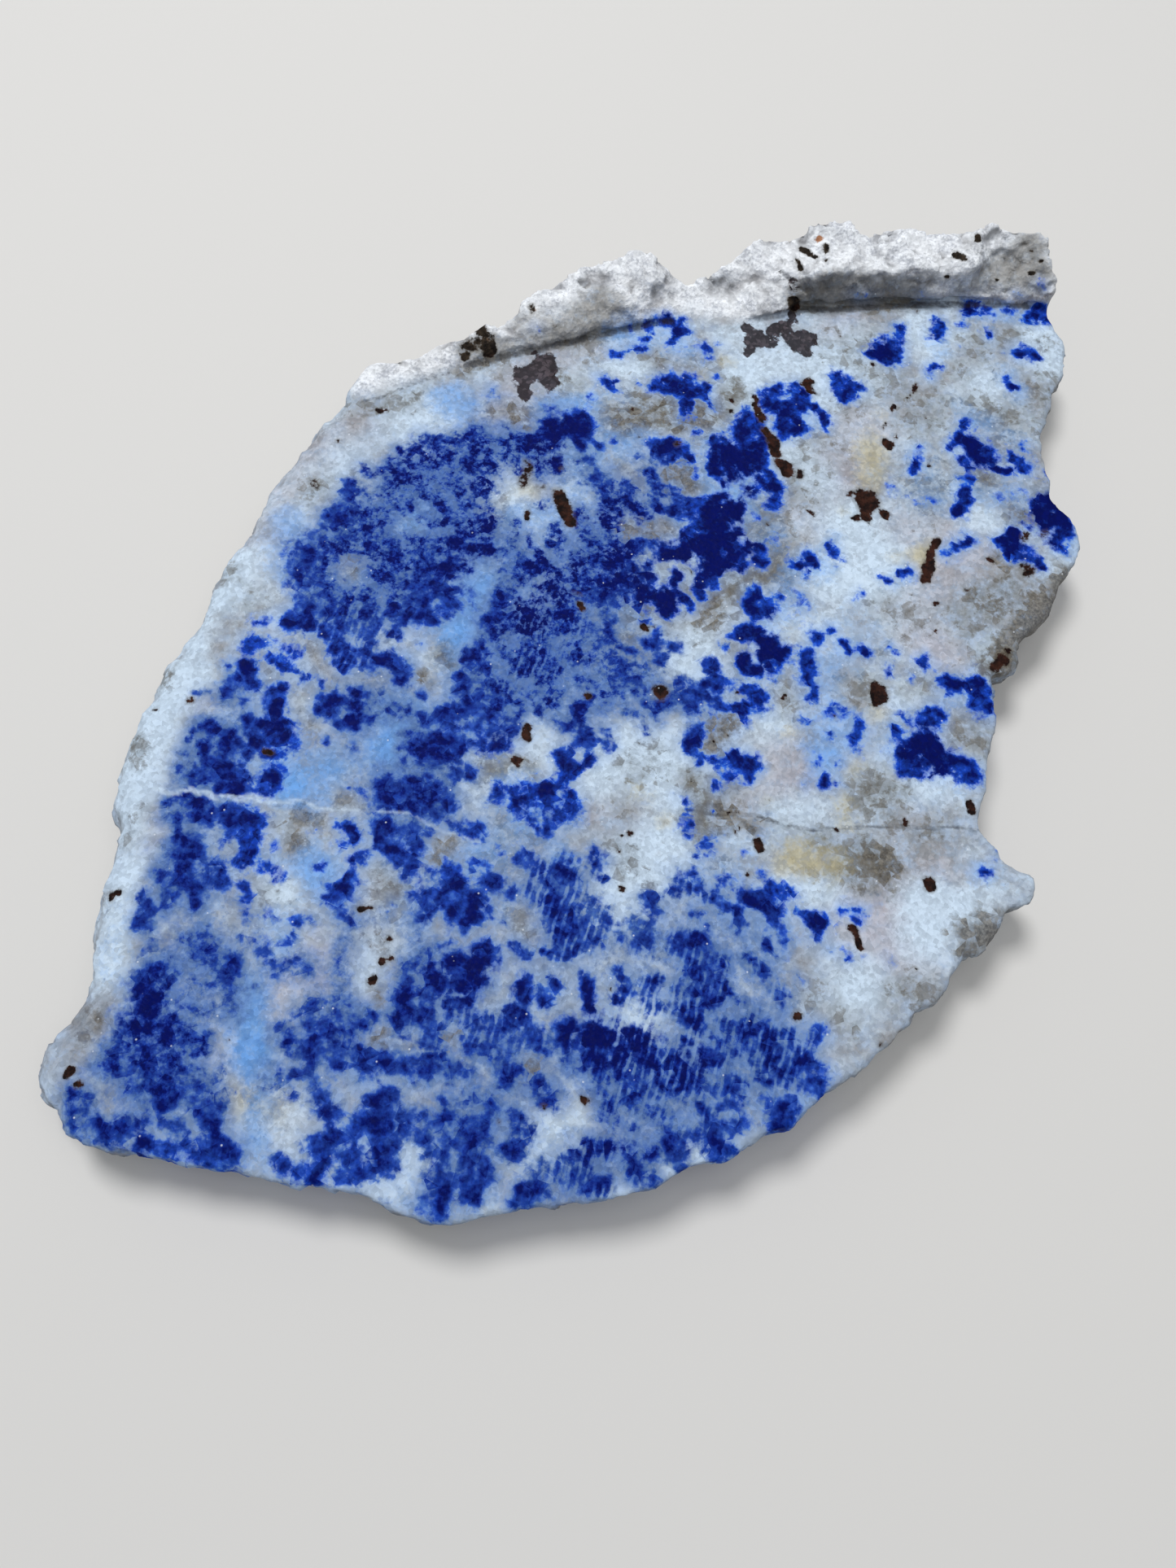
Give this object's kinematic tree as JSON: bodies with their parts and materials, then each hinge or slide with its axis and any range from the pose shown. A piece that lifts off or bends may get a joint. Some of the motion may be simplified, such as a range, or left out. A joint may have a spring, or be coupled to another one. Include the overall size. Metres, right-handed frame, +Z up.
{
  "type": "lapis lazuli specimen",
  "caption": "Irregular sawn slab of blue and white lapis lazuli with a flat matte face, rough rim and a broken ledge along one edge; lies flat as a mineral specimen.",
  "frame": {"origin": "middle of the box at the bottom, on the surface that the slab rests on", "axes": "+Z up through the slab's thickness, +Y from the near edge to the broken ledge, +X to the right"},
  "size_m": [0.125, 0.1358, 0.0169],
  "materials": {
    "lapis_stone": "matte sawn face with a sugary grain, rough broken rim"
  },
  "bodies": {
    "root": {"lapis_slab": "lapis_stone"}
  },
  "joints": []
}
